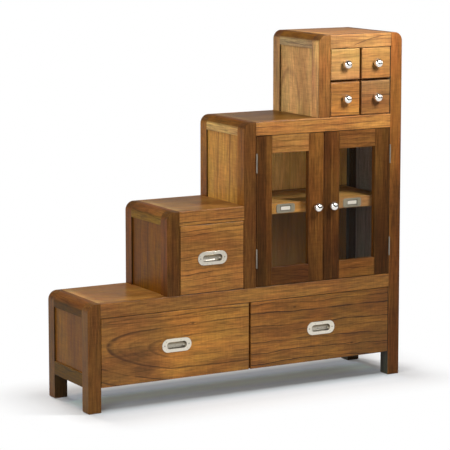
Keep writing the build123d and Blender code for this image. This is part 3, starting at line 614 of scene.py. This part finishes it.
SCREW_INSET = 0.0095
RECESS_BEHIND, SEAT_BEFORE = 0.0005, 0.0028     # from the drawer fronts' face
front_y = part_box("base_left_front")[0][1]
pull_heights = [sum(corner[2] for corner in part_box(f"{drawer}_pull")) / 2 for drawer in ("base_left", "step")]
screw_places = []
for drawer in ("base_left", "base_right", "step"):
    (low_x, _, low_z), (high_x, _, high_z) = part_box(f"{drawer}_pull")
    screw_places += [(x, (low_z + high_z) / 2) for x in (low_x + SCREW_INSET, high_x - SCREW_INSET)]
satin_nickel = metal("satin_nickel", (0.88, 0.81, 0.68), 0.32, 0.20, recess=front_y + RECESS_BEHIND,
                     cups=pull_heights, screws=screw_places)
polished_nickel = metal("polished_nickel", (0.82, 0.79, 0.74), 0.09, 0.04, seat=front_y - SEAT_BEFORE)
aged_nickel = metal("aged_nickel", (0.40, 0.36, 0.30), 0.40, 0.5)
pewter = metal("pewter", (0.34, 0.30, 0.22), 0.38, 0.3)
dark_metal = metal("dark_metal", (0.10, 0.09, 0.08), 0.45, 0.2)
for node_name in ("fixed_hinge_leaves", "left_door_hinge_leaves", "right_door_hinge_leaves"):
    dress(node_name, aged_nickel)
for drawer in ("base_left", "base_right", "step"):
    dress(f"{drawer}_pull", satin_nickel)
for holder in ("lower_left", "lower_right", "upper_left", "upper_right", "left_door", "right_door"):
    dress(f"{holder}_knob", polished_nickel)
dress("label_holders", pewter)
dress("magnetic_catches", dark_metal)

CARD_LENGTH, WINDOW_LENGTH, WINDOW_HEIGHT = 0.050, 0.042, 0.018
MARGIN, MARGIN_FADE = 0.0035, 0.001


def card_stock():
    """Two blank cards in a row along X, each with a dark margin round its edge."""
    mat, g, bsdf = material("card")
    place = g.coordinates()["Object"]
    x, _, z = g.split(place)
    fibres = g.noise(place, scale=400.0, detail=4.0)
    paper = g.mix(fibres, rgba((0.62, 0.57, 0.49)), rgba((0.78, 0.73, 0.64)))
    (low_x, _, low_z), (high_x, _, high_z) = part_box("label_cards")
    beside = g.apart(g.apart(x, (low_x + high_x) / 2), (high_x - low_x - CARD_LENGTH) / 2)
    above = g.apart(z, (low_z + high_z) / 2)
    reach = g.math("MAXIMUM", g.total(beside, (WINDOW_HEIGHT - WINDOW_LENGTH) / 2), above)
    edge = WINDOW_HEIGHT / 2 - MARGIN
    # Painted shade: the card's dark margin stands for the shade where it meets its holder.
    g.put(bsdf.inputs["Base Color"], g.mix(g.remap(reach, edge, edge + MARGIN_FADE), paper, rgba(PAINTED_SHADE)))
    g.put(bsdf.inputs["Roughness"], g.remap(fibres, *NOISE_SPAN, 0.75, 0.9))
    return mat


dress("label_cards", card_stock())

GLASS_TINT = (0.93, 0.93, 0.92)
GLASS_IOR = 1.13        # lower than real glass has, for fainter reflections


def pane(name):
    """Clear float glass that lets lamps through."""
    mat, g, bsdf = material(name)
    bsdf.inputs["Base Color"].default_value = rgba(GLASS_TINT)
    bsdf.inputs["Transmission Weight"].default_value = 1.0
    bsdf.inputs["Roughness"].default_value = 0.0
    bsdf.inputs["IOR"].default_value = GLASS_IOR
    clear = g.add("ShaderNodeBsdfTransparent")
    clear.inputs["Color"].default_value = rgba(GLASS_TINT)
    ray = g.add("ShaderNodeLightPath").outputs
    through = g.math("MAXIMUM", ray["Is Shadow Ray"], ray["Is Diffuse Ray"])
    g.show_mix(through, bsdf.outputs[0], clear.outputs[0])
    return mat


glass = pane("glass")
for side in ("left", "right"):
    dress(f"{side}_door_glass", glass)


# ---------------------------------------------------------------- floor, studio, world, lamps
def seen_ray(g):
    """1 on rays that show a background: from the camera, off gloss and through glass."""
    ray = g.add("ShaderNodeLightPath").outputs
    return g.math("MAXIMUM", ray["Is Camera Ray"],
                  g.math("MAXIMUM", ray["Is Glossy Ray"], ray["Is Transmission Ray"]))


LEAST_GLOW, WHITE_AT = 0.09, 0.26       # the glow under the chest, which is painted light that lightens its shadow, and how far out the floor is plain white
CHEST_EDGE, NEAR = 0.04, 0.10           # how wide the tints' changes are, inside and outside its edge
FLOOR_FRONT, FLOOR_REAR = -0.20, 0.10
# Painted shadow: the floor's tints under the chest, from front to rear.
FLOOR_SHADOW_TINTS = [(0.0, (0.90, 0.92, 0.94)), (0.12, (0.82, 0.85, 0.88)), (0.20, (0.66, 0.71, 0.74)),
               (0.33, (0.42, 0.45, 0.47)), (0.50, (0.49, 0.59, 0.71)), (0.67, (0.76, 1.0, 1.0)),
               (0.83, (0.70, 0.96, 1.0)), (0.93, (0.48, 0.57, 0.68)), (1.0, (0.42, 0.46, 0.52))]


def floor_material():
    """White floor that keeps the chest's shadow and turns plain white further out.

    Under the chest its tints are graded from front to rear as painted shadow, and it glows a little, as
    painted light that lightens that shadow.
    """
    mat, g, bsdf = material("floor")
    place = g.coordinates()["Object"]
    speckle = g.noise(place, scale=60.0, detail=3.0)
    bsdf.inputs["Roughness"].default_value = 0.9
    bsdf.inputs["Specular IOR Level"].default_value = 0.1
    x, y, _ = g.split(place)
    half_x, half_y, _ = cad_box[1]
    off_x, off_y = g.math("ABSOLUTE", x), g.math("ABSOLUTE", y)
    distance = g.length(g.math("MAXIMUM", g.minus(off_x, half_x), 0.0),
                        g.math("MAXIMUM", g.minus(off_y, half_y), 0.0))
    under = g.product(g.remap(g.minus(half_x, off_x), 0.0, CHEST_EDGE),
                      g.remap(y, FLOOR_FRONT - NEAR, FLOOR_FRONT),
                      g.remap(y, half_y, half_y - CHEST_EDGE))
    # Painted shade: the floor is darker next to the chest.
    near_shade = g.mix(g.remap(distance, 0.0, NEAR), rgba(grey(0.80)), rgba(grey(0.95)))
    colour = g.mix(under, near_shade, g.steps(g.remap(y, FLOOR_FRONT, FLOOR_REAR), FLOOR_SHADOW_TINTS))
    colour = g.multiplied(colour, g.mix(speckle, rgba(grey(0.97)), rgba(grey(1.0))))
    g.put(bsdf.inputs["Base Color"], colour)
    white = g.product(seen_ray(g), g.remap(distance, 0.0, WHITE_AT, LEAST_GLOW, 1.0, smooth=True))
    glow = g.add("ShaderNodeEmission")
    g.show_mix(white, bsdf.outputs[0], glow.outputs[0])
    return mat


FLOOR_HALF, FLOOR_GAP = 60.0, 0.0005
floor_corners = [(x * FLOOR_HALF, y * FLOOR_HALF, 0) for x, y in ((-1, -1), (1, -1), (1, 1), (-1, 1))]
plane = bpy.data.meshes.new("floor")
plane.from_pydata(floor_corners, [], [(0, 1, 2, 3)])
floor = bpy.data.objects.new("floor", plane)
bpy.context.scene.collection.objects.link(floor)
plane.materials.append(floor_material())
floor.location.z = -FLOOR_GAP


def studio_card(name, corners, low, high, glow):
    """A card that only shows in gloss: rows of corner pairs, and its greys from low to high."""
    mesh = bpy.data.meshes.new(name)
    mesh.from_pydata(corners, [], [(i, i + 2, i + 3, i + 1) for i in range(0, len(corners) - 2, 2)])
    card = bpy.data.objects.new(name, mesh)
    mat, g, bsdf = material(name)
    weave = g.noise(g.coordinates()["Object"], scale=40.0)
    shade = g.mix(weave, rgba(grey(low)), rgba(grey(high)))
    g.put(bsdf.inputs["Base Color"], shade)
    g.put(bsdf.inputs["Emission Color"], shade)
    bsdf.inputs["Emission Strength"].default_value = glow
    bsdf.inputs["Roughness"].default_value = 0.9
    mesh.materials.append(mat)
    bpy.context.scene.collection.objects.link(card)
    for kind in ("camera", "diffuse", "transmission", "shadow"):
        setattr(card, f"visible_{kind}", False)


FLAG_LINE = [(-6.5, 0.8), (-5.0, -3.6), (5.0, -3.6), (5.0, 1.0)]
FLAG_HEIGHTS = (0.02, 3.2)
SOFT_BOX = [(0.6, -2.0, 1.15), (0.5, -1.0, 2.2), (2.2, -1.3, 1.15), (1.8, -0.5, 2.2)]
studio_card("black_flag", [(x, y, z) for x, y in FLAG_LINE for z in FLAG_HEIGHTS], 0.02, 0.04, 0.0)
studio_card("soft_box", SOFT_BOX, 0.8, 0.9, 1.1)

HORIZON, DIM_ABOVE, OVERHEAD = 0.02, 0.25, 0.10     # where the world dims with height, and to what
WORLD_LIGHT = 0.12                                  # its strength on rays that only light things
world = bpy.data.worlds.new("world")
bpy.context.scene.world = world
world.use_nodes = True
g = Graph(world.node_tree)
sky = world.node_tree.nodes["Background"]
sky.inputs["Color"].default_value = rgba(grey(1.0))
height = g.split(g.coordinates()["Generated"])[2]
around = g.remap(height, HORIZON, DIM_ABOVE, 1.0, OVERHEAD, smooth=True)
g.put(sky.inputs["Strength"], g.product(around, g.remap(seen_ray(g), 0.0, 1.0, WORLD_LIGHT, 1.0)))


def lamp(name, place, target, width, height, power, glossy=True):
    """A soft white panel lamp at place, turned to target. It shows in gloss if glossy."""
    data = bpy.data.lights.new(name, "AREA")
    data.shape = "RECTANGLE"
    data.size = width
    data.size_y = height
    data.energy = power
    obj = bpy.data.objects.new(name, data)
    obj.location = place
    obj.rotation_euler = (Vector(target) - Vector(place)).to_track_quat("-Z", "Y").to_euler()
    obj.visible_camera = False
    obj.visible_transmission = False
    obj.visible_glossy = glossy
    bpy.context.scene.collection.objects.link(obj)


lamp("key", (0.55, -0.75, 1.55), (0.35, -0.14, 1.0), 0.30, 0.30, 18)
lamp("left", (-1.80, -1.30, 1.20), (-0.2, 0.0, 0.5), 0.80, 0.80, 18)
lamp("left_high", (-1.30, -0.50, 1.90), (0.1, 0.0, 0.8), 0.70, 0.70, 9)
lamp("front", (-0.60, -1.60, 0.60), (-0.4, 0.0, 0.2), 0.8, 0.6, 3)
lamp("rear", (-0.6, 2.4, 2.2), (0.1, 0.1, 0.6), 1.2, 1.2, 64, glossy=False)
lamp("right", (2.4, 0.0, 1.4), (0.5, 0.0, 0.7), 1.0, 1.0, 8)
lamp("cabinet_upper", (0.27, -0.04, 0.66), (0.30, 0.14, 0.72), 0.24, 0.03, 0.085, glossy=False)
lamp("cabinet_lower", (0.27, 0.02, 0.370), (0.30, 0.14, 0.385), 0.28, 0.03, 0.080, glossy=False)

# ---------------------------------------------------------------- camera
FOCAL_PIXELS = 2156.4
PICTURE_PIXELS = 450.0
YAW = math.radians(29.664)
PITCH = math.radians(7.925)
camera_data = bpy.data.cameras.new("camera")
camera_data.sensor_fit = "HORIZONTAL"
camera_data.sensor_width = 36.0
camera_data.lens = camera_data.sensor_width * FOCAL_PIXELS / PICTURE_PIXELS
camera_data.shift_y = -0.1
camera_data.clip_end = 200.0
camera = bpy.data.objects.new("camera", camera_data)
camera.location = (-3.5640, -6.2246, 1.7028)
camera.rotation_euler = (math.pi / 2 - PITCH, 0.0, -YAW)
bpy.context.scene.collection.objects.link(camera)
bpy.context.scene.camera = camera
bpy.context.scene.view_settings.view_transform = "Standard"
